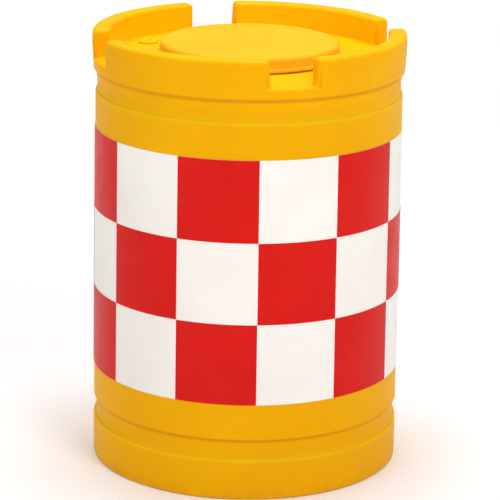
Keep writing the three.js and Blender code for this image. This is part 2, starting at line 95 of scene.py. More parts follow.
NOTCH_PHASE = 16  # degrees
NOTCH_WIDTH = 17  # degrees
NOTCH_MIDDLES = [NOTCH_PHASE + 360 * n / NOTCH_COUNT for n in range(NOTCH_COUNT)]
HATCH_RADIUS = 171 * MM
HATCH_HOLE_RADIUS = 164 * MM
SHEET_PHASE = 4.2  # degrees, where one column of the checker starts
SHEET_COLUMNS = 12
SHEET_ROWS = 3
FILM = 0.4 * MM
ROUND_SEGMENTS = 192
MERGE_DISTANCE = 0.001 * MM
TINY = 1e-9


def body_radius(z):
    """The body's outer radius at a height between its two grooves."""
    share = (z - LOWER_GROOVE["crease"]) / (UPPER_GROOVE["shoulder"] - LOWER_GROOVE["crease"])
    return BODY_FOOT_RADIUS + (BODY_TOP_RADIUS - BODY_FOOT_RADIUS) * share


# ---- Mesh helpers ----
def rounded(corners, steps=6):
    """A smooth path through (radius, height, fillet) corners: each fillet becomes an arc."""
    path = []
    last = len(corners) - 1
    for i, (r, z, fillet) in enumerate(corners):
        here = Vector((r, z))
        if fillet <= 0 or i in (0, last):
            path.append(here)
            continue
        before = Vector(corners[i - 1][:2]) - here
        after = Vector(corners[i + 1][:2]) - here
        angle = before.angle(after)
        reach = fillet / math.tan(angle / 2)
        reach = min(reach, before.length * 0.49, after.length * 0.49)
        radius = reach * math.tan(angle / 2)
        start = here + before.normalized() * reach
        end = here + after.normalized() * reach
        centre = here + (before.normalized() + after.normalized()).normalized() * (
            radius / math.sin(angle / 2)
        )
        sweep = (start - centre).angle_signed(end - centre)
        for k in range(steps + 1):
            turn = Matrix.Rotation(-sweep * k / steps, 2)
            path.append(centre + turn @ (start - centre))
    return path


def rounded_loop(corners):
    """The same for a small path that closes on itself."""
    return rounded([corners[-1], *corners, corners[0]], 3)[1:-1]


def subdivided(path, longest):
    """The same path with points added where two neighbours are further apart than that."""
    result = [path[0]]
    for a, b in zip(path, path[1:]):
        parts = max(1, math.ceil((b - a).length / longest))
        result += [a.lerp(b, k / parts) for k in range(1, parts + 1)]
    return result


def at_azimuth(degrees, radius, z):
    angle = math.radians(degrees)
    return Vector((radius * math.sin(angle), -radius * math.cos(angle), z))


def places_round(count, phase, radius):
    """Evenly spaced places round the axis, the first at the phase."""
    return [at_azimuth(phase + 360 * i / count, radius, 0) for i in range(count)]


def new_object(name, data):
    """An object in the scene for a mesh, a camera or a light."""
    obj = bpy.data.objects.new(name, data)
    bpy.context.scene.collection.objects.link(obj)
    return obj


def object_from(name, vertices, faces):
    mesh = bpy.data.meshes.new(name)
    mesh.from_pydata(vertices, [], faces)
    mesh.validate()
    obj = new_object(name, mesh)
    face_outwards(obj)
    mesh.shade_smooth()
    return obj


def face_outwards(obj):
    """Merges doubled corners and turns every face of a closed mesh outwards."""
    edit = bmesh.new()
    edit.from_mesh(obj.data)
    bmesh.ops.remove_doubles(edit, verts=edit.verts, dist=MERGE_DISTANCE)
    bmesh.ops.recalc_face_normals(edit, faces=edit.faces)
    edit.to_mesh(obj.data)
    edit.free()


def wrapped_faces(rings, count, rows):
    """Quads that join rings of count points each, all the way round the axis."""
    faces = []
    for s in range(rings):
        t = (s + 1) % rings
        for i in range(rows):
            j = (i + 1) % count
            faces.append((s * count + i, t * count + i, t * count + j, s * count + j))
    return faces


def closed_tube(rings, count, base=0):
    """Faces that join rings of count points one after another, with both ends closed."""
    faces = [tuple(base + start + k for k in range(count)) for start in (0, (rings - 1) * count)]
    for ring in range(rings - 1):
        a, b = base + ring * count, base + (ring + 1) * count
        for k in range(count):
            n = (k + 1) % count
            faces.append((a + k, a + n, b + n, b + k))
    return faces


def revolve(name, path, segments=ROUND_SEGMENTS, phase=SHEET_PHASE, centre=None, shift=None):
    """A body of revolution. A path that doesn't start and end on the axis closes on itself.

    shift(azimuth, point) gives what is added to the radius there.
    """
    vertices = []
    for s in range(segments):
        azimuth = phase + 360 * s / segments
        for point in path:
            radius = point.x + (shift(azimuth, point) if shift else 0)
            vertices.append(at_azimuth(azimuth, radius, point.y) + (centre or Vector()))
    on_axis = path[0].x < TINY and path[-1].x < TINY
    rows = len(path) - 1 if on_axis else len(path)
    return object_from(name, vertices, wrapped_faces(segments, len(path), rows))


def drill(radius, low, high, segments, centre=None):
    """A cutter for one upright round hole."""
    path = [(0, low), (radius, low), (radius, high), (0, high)]
    return revolve("drill", [Vector(point) for point in path], segments, 0, centre)


def cut(obj, cutters, operation="DIFFERENCE"):
    """Applies exact booleans and removes the cutters."""
    for cutter in cutters:
        modifier = obj.modifiers.new("cut", "BOOLEAN")
        modifier.operation = operation
        modifier.solver = "EXACT"
        modifier.object = cutter
        apply_modifiers(obj)
        bpy.data.objects.remove(cutter)
    obj.data.shade_smooth()


def apply_modifiers(obj):
    bpy.context.view_layer.update()
    evaluated = obj.evaluated_get(bpy.context.evaluated_depsgraph_get())
    mesh = bpy.data.meshes.new_from_object(evaluated)
    obj.modifiers.clear()
    obj.data = mesh


def sharp_by_angle(obj, degrees):
    """Keeps edges sharper than that crisp."""
    obj.data.set_sharp_from_angle(angle=math.radians(degrees))


def finish_piece(obj, body, material, node):
    """Gives a piece its material and its moving body, and hides the CAD node that it stands for."""
    obj.data.materials.clear()
    obj.data.materials.append(material)
    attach(obj, body)
    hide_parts(node)


# ---- Materials ----
def linear(red, green, blue):
    """An sRGB colour of 0 to 255 as the linear RGBA that the shaders want."""
    channels = []
    for value in (red, green, blue):
        c = value / 255
        channels.append(c / 12.92 if c <= 0.04045 else ((c + 0.055) / 1.055) ** 2.4)
    return (*channels, 1.0)


class Shader:
    """A small builder for one node material."""

    def __init__(self, name):
        self.material = bpy.data.materials.new(name)
        self.material.use_nodes = True
        self.tree = self.material.node_tree
        self.surface = self.tree.nodes["Principled BSDF"]
        self.coordinates = self.tree.nodes.new("ShaderNodeTexCoord").outputs["Object"]

    def node(self, kind, inputs=None, **settings):
        made = self.tree.nodes.new("ShaderNode" + kind)
        for key, value in settings.items():
            setattr(made, key, value)
        for key, value in (inputs or {}).items():
            self.feed(made.inputs[key], value)
        return made

    def feed(self, socket, value):
        if isinstance(value, bpy.types.NodeSocket):
            self.tree.links.new(value, socket)
        else:
            socket.default_value = value

    def set(self, name, value):
        self.feed(self.surface.inputs[name], value)

    def noise(self, scale, detail, roughness=0.5, stretch=(1, 1, 1)):
        mapping = self.node("Mapping", {"Vector": self.coordinates, "Scale": stretch})
        inputs = {"Vector": mapping.outputs[0], "Scale": scale}
        inputs |= {"Detail": detail, "Roughness": roughness}
        return self.node("TexNoise", inputs).outputs["Fac"]

    def ramp(self, value, low, high, out_low=0.0, out_high=1.0):
        """The value's share of the way from low to high, clamped, as out_low to out_high."""
        inputs = {"Value": value, "From Min": low, "From Max": high}
        inputs |= {"To Min": out_low, "To Max": out_high}
        return self.node("MapRange", inputs).outputs[0]

    def mix(self, factor, a, b):
        inputs = {"Factor": factor, "A": a, "B": b}
        return self.node("Mix", inputs, data_type="RGBA").outputs["Result"]

    def math(self, operation, a, b=0.0):
        return self.node("Math", {0: a, 1: b}, operation=operation).outputs[0]

    def height(self):
        """The height above the ground in the part's frame."""
        return self.node("SeparateXYZ", {"Vector": self.coordinates}).outputs["Z"]

    def from_axis(self):
        """The distance from the drum's axis."""
        level = {0: self.coordinates, 1: (1.0, 1.0, 0.0)}
        flat = self.node("VectorMath", level, operation="MULTIPLY")
        return self.length(flat.outputs[0])

    def length(self, vector):
        return self.node("VectorMath", {0: vector}, operation="LENGTH").outputs["Value"]

    def band(self, middle, half_width, strength):
        """A soft level ring of that strength round the drum."""
        away = self.math("ABSOLUTE", self.math("SUBTRACT", self.height(), middle))
        return self.ramp(away, half_width * 0.3, half_width, strength, 0.0)

    def roughness(self, scale, detail, low, high):
        """Gloss that wanders between two roughnesses."""
        self.set("Roughness", self.ramp(self.noise(scale, detail), 0.3, 0.7, low, high))

    def bump(self, height, strength, distance, normal=None):
        inputs = {"Height": height, "Strength": strength, "Distance": distance}
        if normal is not None:
            inputs["Normal"] = normal
        return self.node("Bump", inputs).outputs[0]


HIGHLIGHT_BAND = 7 * MM  # half the height of the painted highlight ring on a groove's shoulder
# half the height of the painted shade ring under a groove's crease
CREASE_SHADE_BAND = 6 * MM
FOOT_RUB_HEIGHT = 50 * MM


def inner_light_share(shader, inner_light):
    """Where the paler yellow of painted light lies: 1 on the deck and the crown's inside, and 0
    elsewhere.
    """
    inner = CROWN_INNER_RADIUS
    inside = shader.ramp(shader.from_axis(), inner + 1 * MM, inner + 6 * MM, 1.0, 0.0)
    above_deck = shader.ramp(shader.height(), DECK_TOP - 2 * MM, DECK_TOP + 6 * MM)
    rim_start, rim_end = TOTAL_HEIGHT - 12 * MM, TOTAL_HEIGHT - 3 * MM
    below_rim = shader.ramp(shader.height(), rim_start, rim_end, inner_light, 0.0)
    return shader.math("MULTIPLY", shader.math("MULTIPLY", inside, above_deck), below_rim)


def painted_light_and_foot_dust(shader, base, inner_light):
    """Adds painted light to a colour: a paler yellow on the deck and the crown's inside, painted
    highlights on the grooves' shoulders and painted shade in their creases; and real dust rubbed
    onto the foot.
    """
    # painted light: a paler yellow for the deck and the crown's inside
    inner_light_yellow = linear(255, 202, 4)
    # painted highlight colour for the grooves' shoulders
    highlight_yellow = linear(255, 197, 16)
    # painted shade colour for the grooves' creases
    crease_shade_orange = linear(206, 128, 14)
    foot_dust = linear(206, 150, 44)
    # painted light: the paler yellow laid on the deck and inside the crown
    base = shader.mix(inner_light_share(shader, inner_light), base, inner_light_yellow)
    for groove in (LOWER_GROOVE, UPPER_GROOVE):
        # painted highlight: a paler ring on each groove's shoulder
        wear_and_highlight = shader.band(groove["shoulder"] + 2.5 * MM, HIGHLIGHT_BAND, 0.7)
        base = shader.mix(wear_and_highlight, base, highlight_yellow)
        # painted shade: a darker ring under each groove's crease
        crease_shade_mask = shader.band(groove["crease"] - 3 * MM, CREASE_SHADE_BAND, 0.55)
        base = shader.mix(crease_shade_mask, base, crease_shade_orange)
    near_ground = shader.ramp(shader.height(), 0.0, FOOT_RUB_HEIGHT, 1.0, 0.0)
    rubbed = shader.math("MULTIPLY", near_ground, shader.noise(35, 6, 0.7))
    return shader.mix(shader.ramp(rubbed, 0.3, 0.7, 0.0, 0.5), base, foot_dust)


def moulded_yellow(name, colour, deep, roughness, inner_light):
    """Moulded polyethylene: slight colour drift, orange peel, fine scuffs, dust at the foot, and
    painted light and shade at the grooves and inside the crown.
    """
    shader = Shader(name)
    speckle_yellow = linear(252, 192, 8)
    scuff_yellow = linear(248, 202, 40)
    drift = shader.noise(5, 3)
    base = shader.mix(shader.ramp(drift, 0.35, 0.65), linear(*colour), linear(*deep))
    base = painted_light_and_foot_dust(shader, base, inner_light)
    speckle = shader.noise(900, 2)
    base = shader.mix(shader.ramp(speckle, 0.45, 0.75, 0, 0.3), base, speckle_yellow)
    scuffs = shader.noise(60, 8, 0.75, (1, 1, 4))
    scuffed = shader.ramp(scuffs, 0.62, 0.72)
    base = shader.mix(shader.math("MULTIPLY", scuffed, 0.2), base, scuff_yellow)
    shader.set("Base Color", base)
    gloss = shader.noise(30, 5)
    rough = shader.ramp(gloss, 0.3, 0.7, roughness - 0.06, roughness + 0.08)
    shader.set("Roughness", shader.math("ADD", rough, shader.math("MULTIPLY", scuffed, 0.12)))
    shader.set("Specular IOR Level", 0.05)
    shader.set("Subsurface Weight", 0.2)
    shader.set("Subsurface Radius", (1.0, 0.45, 0.06))
    shader.set("Subsurface Scale", 20 * MM)
    peel = shader.bump(shader.noise(420, 2), 0.25, 0.4 * MM)
    shader.set("Normal", shader.bump(shader.noise(14, 2), 0.35, 1.6 * MM, peel))
    return shader.material


def reflective_film(name, colour, edge, roughness):
    """Retroreflective sheeting: a clear smooth face over a fine honeycomb of cells."""
    shader = Shader(name)
    cells = shader.node(
        "TexVoronoi",
        {"Vector": shader.coordinates, "Scale": 260.0, "Randomness": 0.25},
        feature="DISTANCE_TO_EDGE",
    )
    wall = shader.ramp(cells.outputs["Distance"], 0.02, 0.07, 1.0, 0.0)
    drift = shader.noise(7, 3)
    base = shader.mix(shader.ramp(drift, 0.3, 0.7), linear(*colour), linear(*edge))
    base = shader.mix(shader.math("MULTIPLY", wall, 0.12), base, linear(*edge))
    shader.set("Base Color", base)
    shader.roughness(25, 4, roughness - 0.04, roughness + 0.06)
    shader.set("Specular IOR Level", 0.12)
    ripple = shader.bump(shader.noise(22, 2), 0.2, 0.6 * MM)
    shader.set("Normal", shader.bump(wall, 0.1, 0.1 * MM, ripple))
    return shader.material


def plain_plastic(name, colour, wear_and_highlight, roughness):
    """Small injection-moulded fittings and rubber rings."""
    shader = Shader(name)
    patch = shader.ramp(shader.noise(40, 4), 0.35, 0.7)
    shader.set("Base Color", shader.mix(patch, linear(*colour), linear(*wear_and_highlight)))
    shader.roughness(90, 4, roughness - 0.08, roughness + 0.08)
    shader.set("Specular IOR Level", 0.2)
    shader.set("Normal", shader.bump(shader.noise(1500, 2), 0.2, 0.2 * MM))
    return shader.material


def plated_steel(name):
    """Zinc plating with a few duller, warmer stains."""
    shader = Shader(name)
    stain = shader.ramp(shader.noise(120, 5), 0.4, 0.7)
    shader.set("Base Color", shader.mix(stain, linear(196, 198, 200), linear(160, 156, 140)))
    shader.set("Metallic", 1.0)
    shader.roughness(300, 3, 0.25, 0.42)
    shader.set("Normal", shader.bump(shader.noise(700, 2), 0.15, 0.1 * MM))
    return shader.material


def bag_film_material(name):
    """Milky soft film with water behind it: glossy, faintly blue, cloudier in its folds."""
    shader = Shader(name)
    cloud = shader.ramp(shader.noise(9, 4), 0.3, 0.7)
    base = shader.mix(cloud, linear(226, 237, 241), linear(196, 216, 224))
    streaks = shader.noise(28, 6, 0.7, (1, 1, 0.3))
    base = shader.mix(shader.ramp(streaks, 0.55, 0.75, 0.0, 0.4), base, linear(240, 246, 248))
    shader.set("Base Color", base)
    shader.set("Subsurface Weight", 0.35)
    shader.set("Subsurface Radius", (0.6, 0.8, 1.0))
    shader.set("Subsurface Scale", 20 * MM)
    shader.roughness(60, 4, 0.12, 0.26)
    shader.set("Coat Weight", 0.4)
    shader.set("Coat Roughness", 0.08)
    creases = shader.bump(shader.noise(160, 6, 0.6), 0.25, 0.6 * MM)
    shader.set("Normal", shader.bump(shader.noise(35, 5), 0.35, 2 * MM, creases))
    return shader.material


# Each material's name, its two sRGB colours and its mean roughness. The yellows add how strongly
# the paler yellow of painted light is laid on the deck and the crown's inside.
drum_yellow = moulded_yellow("drum_yellow", (254, 179, 0), (250, 172, 0), 0.45, 0.9)
hatch_yellow = moulded_yellow("hatch_yellow", (244, 180, 34), (240, 173, 26), 0.5, 0.0)
sheet_white = reflective_film("sheet_white", (252, 247, 241), (246, 240, 233), 0.4)
sheet_red = reflective_film("sheet_red", (221, 22, 13), (214, 17, 9), 0.4)
bag_film = bag_film_material("bag_film")
fitting_white = plain_plastic("fitting_white", (236, 236, 230), (218, 218, 210), 0.38)
cap_blue = plain_plastic("cap_blue", (34, 92, 165), (46, 104, 176), 0.36)
lock_yellow = plain_plastic("lock_yellow", (255, 196, 3), (250, 188, 2), 0.5)
seal_rubber = plain_plastic("seal_rubber", (196, 132, 46), (176, 116, 38), 0.75)
zinc_steel = plated_steel("zinc_steel")

# ---- Drum body ----
FOOT_INNER_RADIUS = 222 * MM
FOOT_ROUNDING = 5 * MM
FOOT_TAPER = 0.5 * MM
FOOT_TAPER_TOP = 34 * MM
BOTTOM_PANEL_RADIUS = 210 * MM
BOTTOM_PANEL_HEIGHT = 14 * MM
LOWER_GROOVE_RADIUS = BODY_FOOT_RADIUS - 5 * MM
UPPER_GROOVE_RADIUS = BODY_TOP_RADIUS - 3.5 * MM
SHOULDER_HEIGHT = 5.5 * MM  # how far a groove's sloping shoulder climbs
NECK_FLANGE_RADIUS = 256 * MM
NECK_FLANGE_THICKNESS = 5 * MM
DRAIN_RADIUS = 6 * MM
DRAIN_PITCH_RADIUS = 120 * MM
DRAIN_COUNT = 4
DRAIN_PHASE = 45  # degrees
WAVER_HEIGHT = 0.12 * MM


def body_path():
    """The shell's closed section: up its outside, round the neck's flange and down its inside."""
    lower, upper = LOWER_GROOVE, UPPER_GROOVE
    flange_under = NECK_TOP - NECK_FLANGE_THICKNESS
    corners = [
        (0, BOTTOM_PANEL_HEIGHT, 0),
        (BOTTOM_PANEL_RADIUS, BOTTOM_PANEL_HEIGHT, 6 * MM),
        (FOOT_INNER_RADIUS, 0, 5 * MM),
        (FOOT_RADIUS - FOOT_TAPER, 0, FOOT_ROUNDING),
        (FOOT_RADIUS, FOOT_TAPER_TOP, 60 * MM),
        (FOOT_RADIUS, lower["shoulder"] + 1 * MM, 3 * MM),
        (LOWER_GROOVE_RADIUS, lower["shoulder"] + SHOULDER_HEIGHT, 4 * MM),
        (LOWER_GROOVE_RADIUS, lower["crease"] - 2.5 * MM, 1.2 * MM),
        (BODY_FOOT_RADIUS, lower["crease"], 1.5 * MM),
        (BODY_TOP_RADIUS, upper["shoulder"] + 1 * MM, 3 * MM),
        (UPPER_GROOVE_RADIUS, upper["shoulder"] + SHOULDER_HEIGHT, 4 * MM),
        (UPPER_GROOVE_RADIUS, upper["floor_top"], 12 * MM),
        (NECK_RADIUS, SKIRT_EDGE, 2 * MM),
        (NECK_RADIUS, NECK_TOP, 1.5 * MM),
        (NECK_FLANGE_RADIUS, NECK_TOP, 1.5 * MM),
        (NECK_FLANGE_RADIUS, flange_under, 1.5 * MM),
        (NECK_RADIUS - WALL, flange_under, 3 * MM),
        (NECK_RADIUS - WALL, SKIRT_EDGE, 3 * MM),
        (UPPER_GROOVE_RADIUS - WALL, upper["floor_top"], 8 * MM),
        (UPPER_GROOVE_RADIUS - WALL, upper["floor_bottom"], 8 * MM),
        (BODY_TOP_RADIUS - WALL, upper["shoulder"] - WALL, 8 * MM),
        (BODY_FOOT_RADIUS - WALL, lower["crease"] + WALL, 5 * MM),
        (LOWER_GROOVE_RADIUS - WALL, lower["floor_top"] + WALL, 5 * MM),
        (LOWER_GROOVE_RADIUS - WALL, lower["floor_bottom"] - WALL, 8 * MM),
        (FOOT_RADIUS - WALL, lower["shoulder"] - WALL, 8 * MM),
        (FOOT_RADIUS - FOOT_TAPER - WALL, WALL, 5 * MM),
        (FOOT_INNER_RADIUS + 2 * MM, WALL, 5 * MM),
        (BOTTOM_PANEL_RADIUS + 2 * MM, BOTTOM_PANEL_HEIGHT + WALL, 6 * MM),
        (0, BOTTOM_PANEL_HEIGHT + WALL, 0),
    ]
    return subdivided(rounded(corners), 16 * MM)


def waver(obj, scale):
    """Moves a moulded wall in and out a little, as a blown skin cools unevenly."""
    for vertex in obj.data.vertices:
        place = vertex.co
        radial = Vector((place.x, place.y, 0))
        if radial.length < MERGE_DISTANCE:
            continue
        offset = noise.noise(place * scale) * WAVER_HEIGHT
        vertex.co = place + radial.normalized() * offset


def make_body():
    body = revolve("drum_shell", body_path())
    waver(body, scale=9)
    places = places_round(DRAIN_COUNT, DRAIN_PHASE, DRAIN_PITCH_RADIUS)
    cut(body, [drill(DRAIN_RADIUS, -10 * MM, 30 * MM, 24, place) for place in places])
    finish_piece(body, "drum", drum_yellow, "drum_body")


# ---- Crown lid ----
CROWN_SHOULDER = TOTAL_HEIGHT - 24 * MM
CROWN_LEAN = 0.6 * MM  # how far the outer wall leans in again above its shoulder
DECK_CORNER_RADIUS = 297.8 * MM
SKIRT_SPLIT = DECK_TOP - 14 * MM  # the wall is the same all round below this
SKIRT_INNER_RADIUS = NECK_RADIUS + 2 * GAP
MOAT_RADIUS = CROWN_INNER_RADIUS - 9 * MM
HOLLOW_RADIUS = CROWN_INNER_RADIUS - WALL
COLLAR_DEPTH = 16 * MM
LIP = 1 * MM
SKIRT_POINTS = 12
OUTER_POINTS = 34
INNER_POINTS = 36
HOLLOW_POINTS = 40
EDGE_ROUNDING = 7 * MM  # of the crown's upright edges at the notches
END_WALL_DRAFT = 2.5 * MM
TOP_ROUNDING = 8 * MM
FOOT_FILLET = 5 * MM
ROW_STEP = 0.6 * MM  # between the rows of points at a notch's edge
CROWDED_ROWS = 48
CROWDED_START = -8 * MM
EVEN_ROWS = 240
CLOSEST_ROWS = 0.35  # degrees
LOCK_COUNT = 4
LOCK_PHASE = NOTCH_PHASE + 45
LOCK_PITCH_RADIUS = 226 * MM
LOCK_HOLE_RADIUS = 9 * MM


def even_path(corners, count):
    """A rounded path resampled to a set number of points, crowded on its curves."""
    path = rounded(corners, 8)
    lengths = [0.0]
    for a, b in zip(path, path[1:]):
        lengths.append(lengths[-1] + (b - a).length)
    # each point of the path counts as this much length too, so curves get more points
    weight = 1.5 * lengths[-1] / len(path)
    keys = [length + weight * i for i, length in enumerate(lengths)]
    result = []
    for k in range(count):
        wanted = keys[-1] * k / (count - 1)
        i = max(n for n, key in enumerate(keys) if key <= wanted + TINY)
        if i == len(path) - 1:
            result.append(path[-1].copy())
            continue
        share = (wanted - keys[i]) / (keys[i + 1] - keys[i])
        result.append(path[i].lerp(path[i + 1], share))
    return result


def wall_radius(z):
    """The radius of the crown's outer wall, which leans out up to its shoulder."""
    share = (z - SKIRT_EDGE) / (CROWN_SHOULDER - SKIRT_EDGE)
    return SKIRT_RADIUS + (CROWN_RADIUS - SKIRT_RADIUS) * min(max(share, 0), 1)


def outside_sections():
    """The lid's outside through a crown part and through a notch, point for point."""
    split = (wall_radius(SKIRT_SPLIT), SKIRT_SPLIT, 0)
    crown_middle = (CROWN_MIDDLE_RADIUS, TOTAL_HEIGHT, 0)
    notch_middle = (CROWN_MIDDLE_RADIUS, DECK_TOP, 0)
    moat = (MOAT_RADIUS, DECK_TOP, 0)
    skirt = even_path([(SKIRT_RADIUS, SKIRT_EDGE + LIP, 0), split], SKIRT_POINTS)[:-1]
    shoulder = (CROWN_RADIUS, CROWN_SHOULDER, 30 * MM)
    outer_edge = (CROWN_RADIUS - CROWN_LEAN, TOTAL_HEIGHT, 15 * MM)
    inner_edge = (CROWN_INNER_RADIUS, TOTAL_HEIGHT, 9 * MM)
    inner_foot = (CROWN_INNER_RADIUS - 0.5 * MM, DECK_TOP, 4 * MM)
    deck_corner = (DECK_CORNER_RADIUS, DECK_TOP, 11 * MM)
    crown = skirt + even_path([split, shoulder, outer_edge, crown_middle], OUTER_POINTS)
    crown += even_path([crown_middle, inner_edge, inner_foot, moat], INNER_POINTS)[1:]
    notch = skirt + even_path([split, deck_corner, notch_middle], OUTER_POINTS)
    notch += even_path([notch_middle, moat], INNER_POINTS)[1:]
    return crown, notch


def deck_section():
    """The deck's top, the collar round the hatch's hole and the deck's underside."""
    hole, collar = HATCH_HOLE_RADIUS, HATCH_HOLE_RADIUS + WALL
    collar_bottom = DECK_TOP - COLLAR_DEPTH
    corners = [
        (MOAT_RADIUS, DECK_TOP, 0),
        (hole, DECK_TOP, 1.5 * MM),
        (hole, collar_bottom, 1.2 * MM),
        (collar, collar_bottom, 1.2 * MM),
        (collar, DECK_UNDERSIDE, 3 * MM),
        (HOLLOW_RADIUS, DECK_UNDERSIDE, 0),
    ]
    return subdivided(rounded(corners, 4), 10 * MM)[1:]


def hollow_sections():
    """The lid's inside under a crown part and under a notch, point for point."""
    start = (HOLLOW_RADIUS, DECK_UNDERSIDE, 0)
    end = (SKIRT_INNER_RADIUS, SKIRT_EDGE + LIP, 0)
    inner, outer = CROWN_INNER_RADIUS + WALL, CROWN_RADIUS - WALL
    crown_corners = [
        start,
        (inner, DECK_UNDERSIDE, 3 * MM),
        (inner, TOTAL_HEIGHT - WALL, 6 * MM),
        (outer - CROWN_LEAN, TOTAL_HEIGHT - WALL, 8 * MM),
        (SKIRT_INNER_RADIUS, DECK_TOP - 2 * MM, 20 * MM),
        end,
    ]
    notch_corners = [start, (SKIRT_INNER_RADIUS, DECK_UNDERSIDE, 1.5 * MM), end]
    return even_path(crown_corners, HOLLOW_POINTS)[1:], even_path(notch_corners, HOLLOW_POINTS)[1:]


def lip_section():
    """The skirt's rounded lower edge."""
    corners = [
        (SKIRT_INNER_RADIUS, SKIRT_EDGE + LIP, 0),
        (SKIRT_INNER_RADIUS, SKIRT_EDGE, 0.8 * MM),
        (SKIRT_RADIUS, SKIRT_EDGE, 0.8 * MM),
        (SKIRT_RADIUS, SKIRT_EDGE + LIP, 0),
    ]
    return rounded(corners, 3)[1:-1]


def arc_drop(radius, along):
    """How far a quarter circle falls away, this far along from its level end."""
    return radius - math.sqrt(radius**2 - along**2)


def upright_inset(distance):
    """How far an upright edge's rounding draws the end wall back, this far in from the wall."""
    return arc_drop(EDGE_ROUNDING, EDGE_ROUNDING - min(max(distance, 0), EDGE_ROUNDING))


def rise(travel):
    """The crown's height share at a distance past the notch's edge: fillet, wall, rounded top."""
    height = TOTAL_HEIGHT - DECK_TOP
    steep = height - TOP_ROUNDING - FOOT_FILLET
    if travel <= -FOOT_FILLET:
        return 0.0
    if travel <= 0:
        return arc_drop(FOOT_FILLET, travel + FOOT_FILLET) / height
    if travel <= END_WALL_DRAFT:
        return (FOOT_FILLET + steep * travel / END_WALL_DRAFT) / height
    over = travel - END_WALL_DRAFT
    if over >= TOP_ROUNDING:
        return 1.0
    return 1.0 - arc_drop(TOP_ROUNDING, TOP_ROUNDING - over) / height


def apart(azimuth, other):
    """The angle between two azimuths, in degrees."""
    return abs((azimuth - other + 180) % 360 - 180)


def lid_azimuths():
    """Azimuths of the lid's rows of points, crowded at the notches' edges."""
    crowd = set()
    for middle in NOTCH_MIDDLES:
        for k in range(CROWDED_ROWS):
            travel = math.degrees((CROWDED_START + ROW_STEP * k) / CROWN_MIDDLE_RADIUS)
            for side in (-1, 1):
                crowd.add(round((middle + side * (NOTCH_WIDTH / 2 + travel)) % 360, 5))
    azimuths = list(crowd)
    for k in range(EVEN_ROWS):
        azimuth = 360 * k / EVEN_ROWS
        if min(apart(azimuth, other) for other in crowd) > CLOSEST_ROWS:
            azimuths.append(azimuth)
    return sorted(azimuths)


def travel_at(azimuth):
    """The distance past the nearest notch edge, along the middle of the crown's thickness."""
    away = min(apart(azimuth, middle) for middle in NOTCH_MIDDLES)
    return math.radians(away - NOTCH_WIDTH / 2) * CROWN_MIDDLE_RADIUS


def lid_section(azimuth, outside, deck, hollow, lip):
    """The lid's whole section at one azimuth, between a crown part's and a notch's."""
    travel = travel_at(azimuth)
    points = []
    for crown, notch in zip(*outside):
        inset = upright_inset(wall_radius(crown.y) - CROWN_LEAN - crown.x)
        inset += upright_inset(crown.x - CROWN_INNER_RADIUS)
        points.append(notch.lerp(crown, rise(travel - inset)))
    points += deck
    for crown, notch in zip(*hollow):
        points.append(notch.lerp(crown, rise(travel - 2 * WALL)))
    return points + lip


def make_lid():
    """The crown, its deck and its skirt as one moulded shell."""
    sections = (outside_sections(), deck_section(), hollow_sections(), lip_section())
    azimuths = lid_azimuths()
    vertices = []
    for azimuth in azimuths:
        section = lid_section(azimuth, *sections)
        vertices += [at_azimuth(azimuth, point.x, point.y) for point in section]
    count = len(section)
    lid = object_from("crown_shell", vertices, wrapped_faces(len(azimuths), count, count))
    waver(lid, scale=11)
    low, high = DECK_UNDERSIDE - 5 * MM, DECK_TOP + 5 * MM
    places = places_round(LOCK_COUNT, LOCK_PHASE, LOCK_PITCH_RADIUS)
    cut(lid, [drill(LOCK_HOLE_RADIUS, low, high, 32, place) for place in places])
    finish_piece(lid, "lid", drum_yellow, "crown_lid")


# ---- Centre hatch ----
RIB_COUNT = 6
RIB_START = 22 * MM
RIB_LENGTH = HATCH_RADIUS - 40 * MM
RIB_THICKNESS = 3 * MM
RIB_DEPTH = 8 * MM
HATCH_EDGE = 9 * MM
HATCH_FLANGE_THICKNESS = 6 * MM
PLUG_CLEARANCE = 1.2 * MM


def hatch_ribs(plate_under):
    """The stiffening ribs under the hatch: separate bars with bevelled lower edges."""
    half = RIB_THICKNESS / 2
    bevel_top = 0.6 * MM - RIB_DEPTH
    section = [(-half, 1 * MM), (-half, bevel_top), (0.4 * MM - half, -RIB_DEPTH)]
    section += [(-y, z) for y, z in reversed(section)]
    vertices, faces = [], []
    for i in range(RIB_COUNT):
        turn = Matrix.Rotation(2 * math.pi * i / RIB_COUNT, 3, "Z")
        base = len(vertices)
        for x in (RIB_START, RIB_START + RIB_LENGTH):
            vertices += [turn @ Vector((x, y, plate_under + z)) for y, z in section]
        faces += closed_tube(2, len(section), base)
    return object_from("ribs", vertices, faces)


def make_hatch():
    flange_under = levels("hatch_seal")[1] + GAP
    flange_top = flange_under + HATCH_FLANGE_THICKNESS
    plate_under = HATCH_TOP - WALL
    plug = HATCH_HOLE_RADIUS - PLUG_CLEARANCE
    corners = [
        (0, plate_under, 0),
        (HATCH_RADIUS - WALL, plate_under, HATCH_EDGE),
        (HATCH_RADIUS - WALL, flange_top, 2 * MM),
        (plug - WALL, flange_under + WALL, 2 * MM),
        (plug - WALL, HATCH_BOTTOM, 1.2 * MM),
        (plug, HATCH_BOTTOM, 1.2 * MM),
        (plug, flange_under, 1 * MM),
        (HATCH_FLANGE_RADIUS, flange_under, 1.5 * MM),
        (HATCH_FLANGE_RADIUS, flange_top, 2 * MM),
        (HATCH_RADIUS + 0.5 * MM, flange_top, 2.5 * MM),
        (HATCH_RADIUS - 0.5 * MM, HATCH_TOP, HATCH_EDGE),
        (0, HATCH_TOP, 0),
    ]
    hatch = revolve("hatch_disc", subdivided(rounded(corners), 15 * MM))
    cut(hatch, [hatch_ribs(plate_under)], "UNION")
    sharp_by_angle(hatch, 50)
    finish_piece(hatch, "hatch", hatch_yellow, "hatch_lid")


